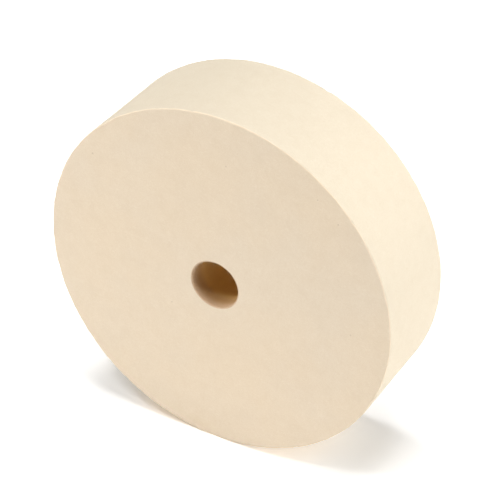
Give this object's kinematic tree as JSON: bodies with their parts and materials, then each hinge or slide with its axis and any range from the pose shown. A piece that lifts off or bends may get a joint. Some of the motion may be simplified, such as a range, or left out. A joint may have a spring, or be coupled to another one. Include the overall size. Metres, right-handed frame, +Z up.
{
  "type": "felt polishing wheel",
  "caption": "Thick round wheel of hard pressed wool felt with soft edges and a plain arbor bore through its centre, for polishing stones and metal.",
  "frame": {"origin": "centre of the arbor bore, midway between the wheel's two faces", "axes": "+Y along the arbor bore, the axis that the wheel turns about; +Z up, with the wheel standing on its rim; the face towards -Y is called the front"},
  "size_m": [0.15, 0.0434, 0.15],
  "materials": {
    "wool_felt": "matte"
  },
  "bodies": {
    "root": {"felt_disc": "wool_felt"}
  },
  "joints": []
}
